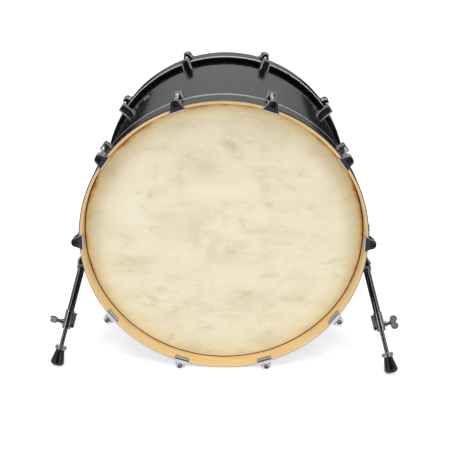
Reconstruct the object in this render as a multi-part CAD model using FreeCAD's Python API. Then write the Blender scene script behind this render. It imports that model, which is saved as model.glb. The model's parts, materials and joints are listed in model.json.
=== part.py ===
import FreeCAD
import Part
import math
import os

V = FreeCAD.Vector

# Bass drum with a calf-look front head. Millimetres, +Z up, the floor at Z = 0.
# The drum's axis runs along Y at the hoops' radius above the floor, the front head looks to -Y,
# and Y = 0 is half-way between the two hoops' outer faces.

# Shell
shell_diameter = 558.8
shell_depth = 400.0
shell_wall = 7.5
edge_bevel = 1.2

# Wooden hoops, the room round the shell for the head's rim, and how far they lap over the shell
hoop_room = 3.0
hoop_wall = 7.0
hoop_depth = 46.5
hoop_lap = 10.5
hoop_edge = 2.4

# Heads: a film with a sloping collar, bonded to the sloping seat of a flesh hoop that the hoop presses on
film_thickness = 0.3
flesh_width = 5.2
flesh_height = 10.0
flesh_overlap = 4.0

# Tension stations, the same on both heads
stations = 10
first_station = 0.0

# Claws that hook over the hoop
claw_width = 31.0
claw_plate = 3.0
claw_lip_wall = 2.2
claw_lip_depth = 8.0
claw_bend = 1.6
claw_boss = 7.8
claw_boss_width = 22.0
claw_length = 20.0
claw_end_width = 18.0
claw_end_boss = 7.0
claw_pad = 0.8
claw_pad_margin = 2.0

# Tension rods with a square key head sunk into the claw
rod_radius = 3.0
rod_standoff = 7.0
rod_reach = 20.0
key_side = 6.3
key_length = 6.9
key_flange_radius = 4.4
key_flange = 2.4
key_recess = 1.3

# Lugs
lug_setback = 23.0
lug_length = 25.0
lug_width = 23.0
lug_taper = 1.5
lug_roof = 5.0
lug_edge = 2.0
lug_end_wall = 2.0

# Air vent
vent_angle = 129.0
vent_offset = 74.5
vent_bore = 4.5
vent_tube_wall = 1.5
vent_flange_radius = 7.5
vent_flange = 1.6

# Spurs: pivot place, lean and swing of each leg
pivot_standoff = 23.0
pivot_height = 200.0
pivot_setback = 101.5
spur_splay = 15.0
right_swing_angle = 31.0
left_swing_angle = 26.6
knuckle_radius = 15.0
knuckle_inner = 10.0
knuckle_outer = 8.0
socket_radius = 9.5
socket_end = 17.0
pivot_bolt_radius = 4.0
pivot_head_radius = 8.5
pivot_head = 3.5
bracket_disc_radius = 16.0
bracket_disc = 10.0
bracket_neck = 30.0
bracket_width = 46.0
bracket_length = 64.0
bracket_corner = 9.0
bracket_foot = 5.0

# Spur leg, measured along the leg from the pivot, and its extension below the collar on the upright leg
tube_radius = 7.5
tube_start = 12.0
spur_show = 80.0
collar_length = 41.0
collar_grip = 16.0
collar_radius = 9.4
collar_ear = 15.5
collar_ear_width = 13.0
collar_ear_margin = 4.0
collar_slit = 1.6
wing_setback = 28.0
wing_boss_radius = 6.0
wing_boss_end = 14.0
wing_screw_radius = 3.0
wing_hub_radius = 4.5
wing_hub_end = 23.5
wing_lobe_radius = 8.0
wing_lobe_place = 29.5
wing_lobe_spread = 8.0
wing_thickness = 3.5
right_wing_angle = 25.0
left_wing_angle = 62.0
spur_rod_radius = 4.75
spur_rod_length = 150.0
spike_length = 10.0
spike_tip = 0.8
spike_depth = 8.0
locknut_radius = 12.2
locknut_height = 9.0
foot_height = 34.0
foot_top_radius = 9.5
foot_radius = 14.8
foot_chamfer = 5.5
foot_flat = 1.0

# Flat sides that stand for the round of the small pieces, and steps in the claw's curves
small_sides = 6
leg_sides = 12
flank_steps = 2
boss_steps = 4
flat_limit = 0.000001

# Clearances
seat_gap = 0.05
film_gap = 0.1
running_gap = 0.08
screw_gap = 0.2
turning_gap = 0.3
side_gap = 0.35

# How far a cutter reaches past the face that it opens
overcut = 1.0

# Radii and places that follow from the sizes above
shell_radius = shell_diameter / 2
shell_inner = shell_radius - shell_wall
edge_crest = shell_radius - edge_bevel
hoop_inner = shell_radius + hoop_room
hoop_radius = hoop_inner + hoop_wall
hoop_overhang = hoop_depth - hoop_lap
axis_height = hoop_radius
half_depth = shell_depth / 2 + hoop_overhang
flesh_outer = hoop_inner + flesh_overlap
flesh_inner = flesh_outer - flesh_width
flesh_front = hoop_depth + seat_gap
flesh_back = flesh_front + flesh_height
rod_circle = hoop_radius + rod_standoff
plate_back = -(claw_pad + 2 * seat_gap)
plate_front = plate_back - claw_plate
key_front = plate_front + key_recess
flange_front = key_front + key_length
flange_back = flange_front + key_flange
rod_seat = flange_back + turning_gap
lug_front = hoop_depth + lug_setback
lug_back = lug_front + lug_length
lug_middle = (lug_front + lug_back) / 2
lug_base = shell_radius + seat_gap
lug_top = rod_circle + lug_roof
vent_tube = vent_bore + vent_tube_wall
pivot_x = shell_radius + pivot_standoff
pivot = V(pivot_x, pivot_setback - half_depth, pivot_height)
knuckle_face = -knuckle_inner - turning_gap
bracket_back = knuckle_face - bracket_disc
bracket_angle = math.degrees(math.atan2(pivot_height - axis_height, pivot_x + bracket_back))
splay = FreeCAD.Rotation(V(0, -1, 0), spur_splay)
spur_bore = spur_rod_radius + running_gap


def leg_length(swing):
    """From the pivot to the middle of the foot's base, so that the foot's low rim stands on the floor."""
    upright = math.cos(math.radians(swing)) * math.cos(math.radians(spur_splay))
    rim = (foot_radius - foot_chamfer) * math.sqrt(1 - upright**2)
    return (pivot.z - rim + foot_flat) / upright


collar_end = leg_length(left_swing_angle) - spur_show
collar_start = collar_end - collar_length
tube_end = collar_start + collar_grip
wing_place = collar_start + wing_setback

RADIAL = V(1, 0, 0)
BACK = V(0, 1, 0)
DOWN = V(0, 0, -1)
STATION = V(rod_circle, 0, 0)

os.makedirs("parts", exist_ok=True)


def export(name, solids):
    shape = solids[0] if len(solids) == 1 else Part.makeCompound(solids)
    shape.exportStep("parts/" + name + ".step")


def spun(points):
    """Solid of revolution about the drum's axis, from its section."""
    return flat_face(points).revolve(V(0, 0, 0), BACK, 360)


def flat_face(points):
    return Part.Face(Part.makePolygon(points + points[:1]))


def skinned(rings):
    """Solid with flat faces through rings of points. A side that twists is split along its diagonal."""
    faces = [flat_face(rings[0]), flat_face(rings[-1])]
    for low, high in zip(rings, rings[1:]):
        for k in range(len(low)):
            side = [low[k - 1], low[k], high[k], high[k - 1]]
            normal = (side[1] - side[0]).cross(side[2] - side[0]).normalize()
            if abs(normal.dot(side[3] - side[0])) < flat_limit:
                faces.append(flat_face(side))
            else:
                faces += [flat_face(side[:3]), flat_face([side[0], side[2], side[3]])]
    skin = Part.makeShell(faces)
    skin.sewShape()
    solid = Part.makeSolid(skin)
    return solid if solid.Volume > 0 else solid.reversed()


def ring_of_sides(axis, centre, radius, sides):
    """Corners of an outline with flat sides about an axis, at the radius."""
    spoke = (V(0, 1, 0) if abs(axis.y) < 0.5 else V(1, 0, 0)) * radius
    turns = [FreeCAD.Rotation(axis, 360.0 * (k + 0.5) / sides) for k in range(sides)]
    return [centre + turn.multVec(spoke) for turn in turns]


def bar(axis, start, end, radius, sides, centre=V(0, 0, 0)):
    """Straight bar along an axis through the centre, from one station to another."""
    return flat_face(ring_of_sides(axis, centre + axis * start, radius, sides)).extrude(axis * (end - start))


def bore(axis, start, end, radius, sides, centre=V(0, 0, 0)):
    """Cutter with flat sides that a round bar of the given radius passes."""
    return bar(axis, start, end, radius / math.cos(math.pi / sides), sides, centre)


def arc_points(centre, radius, start, end, steps):
    """Points of an arc across the drum's axis, angles in degrees from the radial direction."""
    points = []
    for k in range(steps + 1):
        angle = math.radians(start + (end - start) * k / steps)
        points.append(centre + V(radius * math.cos(angle), 0, radius * math.sin(angle)))
    return points


def front(shape):
    """Moves a piece made about the axis, with Y = 0 at the hoop's outer face, to the front of the drum."""
    return shape.translated(V(0, -half_depth, axis_height))


def rear(shape):
    """The same piece, turned to face the other way, at the rear of the drum."""
    return shape.mirror(V(0, 0, 0), BACK).translated(V(0, half_depth, axis_height))


def at_angle(shape, angle):
    """Turns a piece made at the right of the drum up round the axis."""
    return shape.rotated(V(0, 0, 0), -BACK, angle)


def at_stations(shape):
    return [at_angle(shape, first_station + 360.0 / stations * k) for k in range(stations)]


# Shell, with a bevelled outer edge and a cut inner edge at both rims, and a hole for the vent
def make_shell():
    rim = hoop_overhang
    far = rim + shell_depth
    cut = edge_crest - shell_inner
    shell = front(spun([
        V(shell_inner, rim + cut, 0),
        V(edge_crest, rim, 0),
        V(shell_radius, rim + edge_bevel, 0),
        V(shell_radius, far - edge_bevel, 0),
        V(edge_crest, far, 0),
        V(shell_inner, far - cut, 0),
    ]))
    hole = bore(RADIAL, shell_inner - shell_wall, shell_radius + shell_wall, vent_tube + seat_gap, leg_sides)
    return shell.cut(at_vent(hole))


# Hoop: a flat wooden ring with its front outer edge broken
def make_hoop():
    return spun([
        V(hoop_inner, 0, 0),
        V(hoop_radius - hoop_edge, 0, 0),
        V(hoop_radius, hoop_edge, 0),
        V(hoop_radius, hoop_depth, 0),
        V(hoop_inner, hoop_depth, 0),
    ])


# The film's line from the shell's edge, down the collar to its rim under the hoop
film_level = hoop_overhang - film_gap
film_bend = V(shell_radius + film_gap, film_level, 0)
film_rim = V(hoop_inner, flesh_front + flesh_height / 2, 0)
film_slope = film_rim.sub(film_bend).normalize()
film_side = V(film_slope.y, -film_slope.x, 0)


# Flesh hoop: a ring whose inner corner is cut to the slope of the film
def make_flesh_hoop():
    seat = film_bend - film_side * film_gap
    low = seat + film_slope * ((flesh_inner - seat.x) / film_slope.x)
    high = seat + film_slope * ((film_rim.x - seat.x) / film_slope.x)
    return spun([
        low,
        high,
        V(high.x, flesh_front, 0),
        V(flesh_outer, flesh_front, 0),
        V(flesh_outer, flesh_back, 0),
        V(flesh_inner, flesh_back, 0),
    ])


# Film: flat over the shell's edge, then a sloping collar on the flesh hoop's seat
def make_film():
    clear = film_thickness * film_side.x + turning_gap
    end = film_rim - film_slope * (clear / film_slope.x)
    half_turn = math.atan2(film_slope.y, film_slope.x) / 2
    outer_bend = film_bend + V(film_thickness * math.tan(half_turn), -film_thickness, 0)
    return spun([
        V(0, film_level, 0),
        film_bend,
        end,
        end + film_side * film_thickness,
        outer_bend,
        V(0, outer_bend.y, 0),
    ])


# Claw: a bell-shaped plate over the hoop's face, a lip inside it and a boss for the rod outside it
def make_claw():
    half = claw_width / 2
    lip_outer = math.sqrt(hoop_inner**2 - half**2) - side_gap
    lip_inner = lip_outer - claw_lip_wall
    shoulder = lip_outer + claw_lip_wall
    across = rod_circle - shoulder
    drop = half - claw_boss
    flank = (across**2 + drop**2) / (2 * drop)
    lean = math.degrees(math.asin(across / flank))
    face = V(0, plate_front, 0)
    low_centre = STATION + face + V(0, 0, -claw_boss - flank)
    high_centre = STATION + face + V(0, 0, claw_boss + flank)
    outline = [V(lip_inner, plate_front, -half)]
    outline += arc_points(low_centre, flank, 90 + lean, 90, flank_steps)
    outline += arc_points(STATION + face, claw_boss, -90, 90, boss_steps)[1:-1]
    outline += arc_points(high_centre, flank, -90, -90 - lean, flank_steps)
    outline.append(V(lip_inner, plate_front, half))
    plate = flat_face(outline).extrude(BACK * claw_plate)
    section = [
        V(lip_inner, plate_front, -half),
        V(lip_outer, plate_front, -half),
        V(lip_outer, claw_lip_depth, -half),
        V(lip_inner, claw_lip_depth, -half),
    ]
    hook = plate.fuse(flat_face(section).extrude(V(0, 0, claw_width))).removeSplitter()
    corner = V(lip_inner, plate_front, 0)
    bends = []
    for edge in hook.Edges:
        if all((end.Point - corner).cross(V(0, 0, 1)).Length < seat_gap for end in edge.Vertexes):
            bends.append(edge)
    hook = hook.makeChamfer(claw_bend, bends)
    boss = skinned([
        boss_outline(plate_back, claw_boss_width / 2, claw_boss),
        boss_outline(claw_length, claw_end_width / 2, claw_end_boss),
    ])
    recess = bore(BACK, 2 * plate_front, rod_seat, key_flange_radius + side_gap, small_sides, STATION)
    passage = bore(BACK, plate_front, 2 * claw_length, rod_radius + screw_gap, small_sides, STATION)
    return hook.fuse(boss).cut([recess, passage]).removeSplitter().Solids[0]


def boss_outline(y, half_width, radius):
    """Cross-section of the claw's boss: flat on the hoop's side, round about the rod."""
    base = hoop_radius + side_gap
    points = [V(base, y, -half_width)]
    points += arc_points(STATION + V(0, y, 0), radius, -90, 90, boss_steps)
    points.append(V(base, y, half_width))
    return points


# Soft pad between the claw's plate and the hoop's face
def make_claw_pad():
    width = claw_width - 2 * claw_pad_margin
    corner = V(hoop_inner + seat_gap, -claw_pad - seat_gap, -width / 2)
    return Part.makeBox(hoop_wall - hoop_edge, claw_pad, width, corner)


# Tension rod: a threaded shank, a collar that bears in the claw, and a square head for the drum key
def make_rod():
    half = key_side / 2
    head = Part.makeBox(key_side, key_length, key_side, V(rod_circle - half, key_front, -half))
    collar = bar(BACK, flange_front, flange_back, key_flange_radius, small_sides, STATION)
    shank = bar(BACK, flange_back, lug_front + rod_reach, rod_radius, small_sides, STATION)
    return head.fuse([collar, shank])


# Lug: a tapered block with broken top edges and a blind bore for the rod
def make_lug():
    def outline(x, inset):
        half_y = lug_length / 2 - inset
        half_z = lug_width / 2 - inset
        corners = ((-half_y, -half_z), (half_y, -half_z), (half_y, half_z), (-half_y, half_z))
        return [V(x, lug_middle + y, z) for y, z in corners]

    block = skinned([
        outline(shell_inner, 0),
        outline(lug_top - lug_edge, lug_taper),
        outline(lug_top, lug_taper + lug_edge),
    ])
    seat = Part.makeCylinder(lug_base, 2 * lug_back, V(0, 0, 0), BACK)
    bottom = lug_back - lug_end_wall
    socket = bore(BACK, lug_front - overcut, bottom, rod_radius + running_gap, small_sides, STATION)
    return block.cut([seat, socket]).Solids[0]


def at_vent(shape):
    """Puts a piece made along the radial direction at the air vent's place on the shell."""
    return at_angle(shape, vent_angle).translated(V(0, vent_offset, axis_height))


# Flanged grommet through the shell, flared over on the inside
def make_vent():
    outside = shell_radius + seat_gap
    inside = math.sqrt(shell_inner**2 - vent_flange_radius**2) - seat_gap
    start = inside - vent_flange
    end = outside + vent_flange
    body = bar(RADIAL, start, end, vent_tube, leg_sides)
    outer_flange = bar(RADIAL, outside, end, vent_flange_radius, leg_sides)
    inner_flange = bar(RADIAL, start, inside, vent_flange_radius, leg_sides)
    way = Part.makeCylinder(vent_bore, 2 * (end - start), RADIAL * (2 * start - end), RADIAL)
    return at_vent(body.fuse([outer_flange, inner_flange]).cut(way).removeSplitter())


def mirrored(shape, side):
    """The right-hand piece for side 1, its mirror image for side -1."""
    return shape if side > 0 else shape.mirror(V(0, 0, 0), RADIAL)


def at_pivot(shape, swing=0.0):
    """Hangs a piece from the right-hand pivot. It is made with X along the hinge and the leg down -Z."""
    placed = shape.copy()
    placed.Placement = FreeCAD.Placement(pivot, splay.multiply(FreeCAD.Rotation(RADIAL, -swing)))
    return placed


def cut_rectangle(width, length, corner, place):
    """Rectangle with cut corners across the X direction, moved by the given placement."""
    y = length / 2
    z = width / 2
    quarter = [V(0, y, z - corner), V(0, y - corner, z)]
    points = quarter + [V(0, -p.y, p.z) for p in reversed(quarter)]
    points += [V(0, -p.y, -p.z) for p in points]
    return [place.multVec(p) for p in points]


# Spur bracket: a cast foot on the shell that narrows to a round hinge face
def make_bracket():
    turn = FreeCAD.Rotation(-BACK, bracket_angle)
    base = V(0, pivot.y, axis_height)
    sunk = FreeCAD.Placement(base + turn.multVec(RADIAL * shell_inner), turn)
    raised = FreeCAD.Placement(base + turn.multVec(RADIAL * (shell_radius + bracket_foot)), turn)
    hinge = FreeCAD.Placement(pivot + splay.multVec(RADIAL) * (bracket_back + seat_gap), splay)
    foot = skinned([
        cut_rectangle(bracket_width, bracket_length, bracket_corner, sunk),
        cut_rectangle(bracket_width, bracket_length, bracket_corner, raised),
        cut_rectangle(bracket_neck, bracket_neck, bracket_corner, hinge),
    ])
    disc = at_pivot(bar(RADIAL, bracket_back, knuckle_face, bracket_disc_radius, leg_sides))
    seat = Part.makeCylinder(lug_base, 2 * half_depth, V(0, -half_depth, axis_height), BACK)
    bolt_bore = pivot_bolt_radius + seat_gap
    hole = at_pivot(bore(RADIAL, bracket_back, knuckle_face + overcut, bolt_bore, small_sides))
    return foot.fuse(disc).cut([seat, hole]).removeSplitter().Solids[0]


# Pivot bolt that the leg folds about
def make_pivot_bolt():
    head_start = knuckle_outer + turning_gap
    shank = bar(RADIAL, bracket_back + seat_gap, head_start, pivot_bolt_radius, small_sides)
    head = bar(RADIAL, head_start, head_start + pivot_head, pivot_head_radius, leg_sides)
    return shank.fuse(head)


# Knuckle: a round hinge boss with a socket for the leg tube
def make_knuckle():
    boss = bar(RADIAL, -knuckle_inner, knuckle_outer, knuckle_radius, leg_sides)
    socket = bar(DOWN, pivot_head_radius + side_gap, socket_end, socket_radius, leg_sides)
    hole = bore(RADIAL, -2 * knuckle_inner, 2 * knuckle_outer, pivot_bolt_radius + running_gap, small_sides)
    mouth = bore(DOWN, tube_start, 2 * socket_end, tube_radius + seat_gap, leg_sides)
    return boss.fuse(socket).cut([hole, mouth]).removeSplitter().Solids[0]


def make_leg_tube():
    start = tube_start + seat_gap
    tube = bar(DOWN, start, tube_end, tube_radius, leg_sides)
    return tube.cut(bore(DOWN, start - overcut, tube_end + overcut, spur_bore, leg_sides))


# Split clamp collar on the end of the tube, with ears on the inner side and a boss for the wing screw
def make_collar():
    body = bar(DOWN, collar_start, collar_end, collar_radius, leg_sides)
    ear_length = collar_end - collar_start - 2 * collar_ear_margin
    ear_corner = V(-collar_ear, -collar_ear_width / 2, -collar_end + collar_ear_margin)
    ear = Part.makeBox(collar_ear, collar_ear_width, ear_length, ear_corner)
    slit_corner = V(-2 * collar_ear, -collar_slit / 2, -2 * collar_end)
    slit = Part.makeBox(2 * collar_ear, collar_slit, 2 * collar_end, slit_corner)
    centre = DOWN * wing_place
    boss = bar(RADIAL, 0, wing_boss_end, wing_boss_radius, small_sides, centre)
    cuts = [
        bore(DOWN, 0, tube_end + seat_gap, tube_radius + seat_gap, leg_sides),
        bore(DOWN, tube_end, 2 * collar_end, spur_bore, leg_sides),
        bore(RADIAL, 0, 2 * wing_boss_end, wing_screw_radius + running_gap, small_sides, centre),
        slit,
    ]
    return body.fuse([ear, boss]).cut(cuts).removeSplitter().Solids[0]


# Wing screw that locks the extension rod
def make_wing_screw(turn):
    centre = DOWN * wing_place
    hub_start = wing_boss_end + turning_gap
    half = wing_thickness / 2
    web_start = (hub_start + wing_hub_end) / 2
    web_corner = centre + V(web_start, -half, -wing_lobe_spread)
    pieces = [
        bar(RADIAL, hub_start, wing_hub_end, wing_hub_radius, small_sides, centre),
        Part.makeBox(wing_lobe_place - web_start, wing_thickness, 2 * wing_lobe_spread, web_corner),
    ]
    for side in (1, -1):
        lobe = centre + V(wing_lobe_place, 0, side * wing_lobe_spread)
        pieces.append(bar(BACK, -half, half, wing_lobe_radius, leg_sides, lobe))
    shank = bar(RADIAL, spur_rod_radius + turning_gap, hub_start, wing_screw_radius, small_sides, centre)
    return shank.fuse(pieces).removeSplitter().rotated(centre, RADIAL, turn)


# Extension rod with a steel spike inside the rubber foot
def make_spur_rod(length):
    tip = length - spike_depth
    neck = tip - spike_length
    rod = bar(DOWN, tip - spur_rod_length, neck, spur_rod_radius, leg_sides)
    spike = skinned([
        ring_of_sides(DOWN, DOWN * neck, spur_rod_radius, leg_sides),
        ring_of_sides(DOWN, DOWN * tip, spike_tip, leg_sides),
    ])
    return rod.fuse(spike)


def make_locknut(length):
    end = length - foot_height - turning_gap
    nut = bar(DOWN, end - locknut_height, end, locknut_radius, leg_sides)
    return nut.cut(bore(DOWN, end - 2 * locknut_height, end + overcut, spur_bore, leg_sides))


# Rubber foot: a flared cup with a bevelled rim, standing flat on the floor
def make_foot(length):
    cup = skinned([
        ring_of_sides(DOWN, DOWN * (length - foot_height), foot_top_radius, leg_sides),
        ring_of_sides(DOWN, DOWN * (length - foot_chamfer), foot_radius, leg_sides),
        ring_of_sides(DOWN, DOWN * length, foot_radius - foot_chamfer, leg_sides),
    ])
    return cup.cut(bore(DOWN, 0, length - spike_depth + turning_gap, spur_bore, leg_sides))


def above_floor(shape):
    reach = 4 * hoop_radius
    return shape.cut(Part.makeBox(reach, reach, reach, V(-reach / 2, -reach / 2, -reach))).Solids[0]


claws, pads = at_stations(make_claw()), at_stations(make_claw_pad())
rods, lugs = at_stations(make_rod()), at_stations(make_lug())

export("shell", [make_shell()])
export("vent_grommet", [make_vent()])
for end, place in (("front", front), ("rear", rear)):
    export(end + "_hoop", [place(make_hoop())])
    export(end + "_flesh_hoop", [place(make_flesh_hoop())])
    export(end + "_head_film", [place(make_film())])
    export(end + "_claws", [place(claw) for claw in claws])
    export(end + "_claw_pads", [place(pad) for pad in pads])
    export(end + "_lugs", [place(lug) for lug in lugs])
    for number, rod in enumerate(rods, 1):
        export("%s_tension_rod_%02d" % (end, number), [place(rod)])

for name, side, swing, turn in (
    ("right", 1, right_swing_angle, right_wing_angle),
    ("left", -1, left_swing_angle, left_wing_angle),
):
    length = leg_length(swing)
    leg = {
        "spur_knuckle": make_knuckle(),
        "spur_tube": make_leg_tube(),
        "spur_collar": make_collar(),
        "spur_wing_screw": make_wing_screw(turn),
        "spur_rod": make_spur_rod(length),
        "spur_locknut": make_locknut(length),
        "spur_foot": make_foot(length),
    }
    export(name + "_spur_bracket", [mirrored(make_bracket(), side)])
    export(name + "_spur_pivot_bolt", [mirrored(at_pivot(make_pivot_bolt()), side)])
    for piece, shape in leg.items():
        export(name + "_" + piece, [above_floor(mirrored(at_pivot(shape, swing), side))])
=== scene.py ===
import bmesh
import bpy
import json
import math
from mathutils import Matrix, Quaternion, Vector


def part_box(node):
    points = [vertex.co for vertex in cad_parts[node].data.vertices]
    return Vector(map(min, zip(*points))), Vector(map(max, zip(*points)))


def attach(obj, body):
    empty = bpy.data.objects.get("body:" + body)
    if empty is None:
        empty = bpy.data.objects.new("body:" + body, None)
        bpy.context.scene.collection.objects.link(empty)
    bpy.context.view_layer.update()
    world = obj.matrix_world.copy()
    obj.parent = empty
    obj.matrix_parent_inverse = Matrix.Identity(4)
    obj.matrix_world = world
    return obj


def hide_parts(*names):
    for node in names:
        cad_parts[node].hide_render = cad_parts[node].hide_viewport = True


# Bass drum with a calf-look head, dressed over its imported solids.
# All lengths are in metres, in the same frame as the solids.

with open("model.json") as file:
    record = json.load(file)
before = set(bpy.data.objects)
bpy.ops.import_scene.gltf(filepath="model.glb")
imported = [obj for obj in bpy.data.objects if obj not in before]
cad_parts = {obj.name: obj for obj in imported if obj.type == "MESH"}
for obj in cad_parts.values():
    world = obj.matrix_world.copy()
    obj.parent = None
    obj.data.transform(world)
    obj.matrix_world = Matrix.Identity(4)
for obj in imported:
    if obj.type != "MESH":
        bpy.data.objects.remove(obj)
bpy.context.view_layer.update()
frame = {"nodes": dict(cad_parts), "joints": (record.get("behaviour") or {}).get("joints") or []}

MM = 0.001

# Sizes and places read from the frame
hoop_low, hoop_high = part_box("front_hoop")
shell_low, shell_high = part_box("shell")
vent_low, vent_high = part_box("vent_grommet")
axis_height = (hoop_low.z + hoop_high.z) / 2
hoop_radius = (hoop_high.x - hoop_low.x) / 2
hoop_depth = hoop_high.y - hoop_low.y
front_face = hoop_low.y
rear_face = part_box("rear_hoop")[1].y
shell_radius = (shell_high.x - shell_low.x) / 2
shell_rim = shell_low.y - front_face
shell_depth = shell_high.y - shell_low.y
film_low, film_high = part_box("front_head_film")
film_radius = (film_high.x - film_low.x) / 2
film_level = film_low.y - front_face
film_rim = film_high.y - front_face
ring_low, ring_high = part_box("front_flesh_hoop")
ring_front = ring_low.y - front_face
ring_back = ring_high.y - front_face
joints = {joint["name"]: joint for joint in frame["joints"]}
rod_circle = Vector(joints["front_tension_rod_01_turn"]["pos_m"]).x

# Edges, from the crispest to the softest
fine_edge = 0.3 * MM
broken_edge = 0.4 * MM
edge_round = 0.5 * MM
small_edge = 0.6 * MM
eased_edge = 0.8 * MM
full_edge = 1.0 * MM
soft_edge = 1.2 * MM
cast_edge = 1.8 * MM

# Shell and heads
shell_wall = 7.5 * MM
edge_bevel = 1.2 * MM
film_thickness = 0.3 * MM
film_bend = 1.8 * MM
film_bend_round = 1.2 * MM
ring_inset = 0.4 * MM
ring_inner = 1.8 * MM
ring_gap = 0.5 * MM

# Tan rim of the film, partly a tanned look and partly painted shade of the hoop, centred on a line a
# little below the drum's axis so that the painted shade is deepest at the top
rim_shade_drop = 8.0 * MM
rim_start = 236.0 * MM
rim_end = 284.0 * MM
rim_wander = 30.0 * MM

# Hoops
hoop_wall = 7.0 * MM
hoop_edge = 2.4 * MM
hoop_round = 0.8 * MM
hoop_paint_margin = 0.7 * hoop_edge
hoop_inner = hoop_radius - hoop_wall

# Tension stations
stations = 10
station_step = 2 * math.pi / stations

# Claws, with the lip's corner as (distance back, narrower by) pairs in millimetres
claw_half_width = 15.5 * MM
claw_front = -3.9 * MM
claw_plate = 3.0 * MM
claw_gap = 0.35 * MM
claw_lip_wall = 2.2 * MM
claw_lip_end = 8.0 * MM
claw_lip_outer = math.sqrt(hoop_inner**2 - claw_half_width**2) - claw_gap
claw_lip_middle = claw_lip_outer - claw_lip_wall / 2
claw_lip_corner = ((0.0, 2.2), (0.4, 1.2), (1.2, 0.5), (2.4, 0.1), (4.0, 0.0))
claw_bend = 3.2 * MM
claw_bend_steps = 6
claw_plate_steps = 10
claw_end_steps = 9
claw_end_turn = math.radians(84)
claw_waist = 10.0 * MM
claw_end = 7.7 * MM
claw_flare = 1.4
claw_edge = 0.7 * MM
claw_boss = 7.8 * MM
claw_end_boss = 7.0 * MM
claw_length = 20.0 * MM
claw_recess = 4.75 * MM
claw_recess_end = 7.0 * MM
claw_passage = 3.2 * MM
saddle_base = hoop_radius + claw_gap
saddle_half_width = 12.5 * MM
saddle_end_half_width = 10.0 * MM
saddle_top = 9.0 * MM
saddle_end_top = 7.6 * MM

# Tension rods
key_half = 3.15 * MM
key_front = -2.6 * MM
key_back = 4.3 * MM
flange_radius = 4.4 * MM
flange_back = 6.7 * MM
rod_radius = 3.0 * MM
rod_core = 2.55 * MM
rod_reach = 20.0 * MM
thread_start = 38.0 * MM
thread_pitch = 1.25 * MM
thread_turn_steps = 18
thread_ridge_sides = 4

# Lugs
lug_front = hoop_depth + 23.0 * MM
lug_length = 25.0 * MM
lug_width = 23.0 * MM
lug_corner = 6.0 * MM
lug_taper = 1.5 * MM
lug_foot_taper = 0.1 * lug_taper
lug_top = rod_circle + 5.0 * MM
lug_edge = 2.0 * MM
lug_edge_steps = 5
lug_bore = 3.3 * MM
lug_bore_end = lug_front + 23.0 * MM
rod_end = lug_front + rod_reach
lug_eye = 5.2 * MM
lug_eye_depth = 3.0 * MM

# Air vent
vent_bore = 4.5 * MM
vent_tube = 6.0 * MM
vent_flange_radius = 7.5 * MM
vent_flange = 1.6 * MM

# Spurs, in the leg's own frame: X along the hinge away from the drum, the leg down -Z from the pivot
bore_gap = 0.1 * MM
turning_gap = 0.3 * MM

# Spur brackets and hinges, with the foot's edge as (rise, inset) pairs in millimetres
knuckle_radius = 15.0 * MM
knuckle_inner = 10.0 * MM
knuckle_outer = 8.0 * MM
socket_radius = 9.5 * MM
socket_root = socket_radius + 1.0 * MM
socket_start = 8.9 * MM
socket_end = 17.0 * MM
pivot_bolt_radius = 4.0 * MM
pivot_head_radius = 8.5 * MM
pivot_head = 3.5 * MM
pivot_key = 3.0 * MM
pivot_key_sides = 6
pivot_key_floor = 0.3 * pivot_head
bracket_disc_radius = 16.0 * MM
bracket_disc = 10.0 * MM
bracket_disc_start = 3.0 * MM
bracket_face_start = -knuckle_inner - turning_gap - bracket_disc
bracket_width = 46.0 * MM
bracket_length = 64.0 * MM
bracket_corner = 9.0 * MM
bracket_foot = 5.0 * MM
bracket_foot_edge = ((-1.5, 0.0), (-0.5, 0.6), (0.0, 1.8))
bracket_neck_rise = 0.5 * MM
bracket_neck_inset = 5.0 * MM
bracket_neck_end = 2.0 * MM
bracket_neck_radius = 0.94 * bracket_disc_radius
bracket_neck_steps = 6
bracket_screw_place = 22.0 * MM
bracket_screw_sink = 0.5 * MM
bracket_screw_radius = 4.0 * MM
bracket_screw_side = 1.6 * MM
bracket_screw_top = 2.6 * MM
bracket_screw_recess = 1.6 * MM
bracket_screw_floor = 1.0 * MM

# Spur tubes, collars and wing screws
tube_radius = 7.5 * MM
tube_start = 12.0 * MM
collar_length = 41.0 * MM
collar_grip = 16.0 * MM
collar_radius = 9.4 * MM
collar_ear = 15.5 * MM
collar_ear_width = 13.0 * MM
collar_ear_margin = 4.0 * MM
collar_ear_corner = 2.0 * MM
collar_slit = 1.6 * MM
collar_slit_start = collar_radius - 1.0 * MM
ear_screw_setback = 32.0 * MM
ear_screw_inset = 4.2 * MM
ear_screw_radius = 2.6 * MM
ear_screw_half = collar_ear_width / 2 - 2.0 * MM
wing_setback = 28.0 * MM
wing_boss_radius = 6.0 * MM
wing_boss_end = 14.0 * MM
wing_screw_radius = 3.0 * MM
wing_hub_radius = 4.5 * MM
wing_hub_waist = 0.86 * wing_hub_radius
wing_hub_round = 2.0 * MM
wing_hub_end = 23.5 * MM
wing_web_rise = 3.0 * MM
wing_web_insets = (0.5, 0.2, 0.02, 0.0)
wing_lobe_radius = 8.0 * MM
wing_lobe_place = 29.5 * MM
wing_lobe_spread = 8.0 * MM
wing_lobe_round = 1.3 * MM
wing_thickness = 3.5 * MM
wing_dish_radius = 0.6 * wing_lobe_radius
wing_dish_half = 0.4 * wing_thickness
wing_turns = {"right": math.radians(25.0), "left": math.radians(-62.0)}

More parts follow.
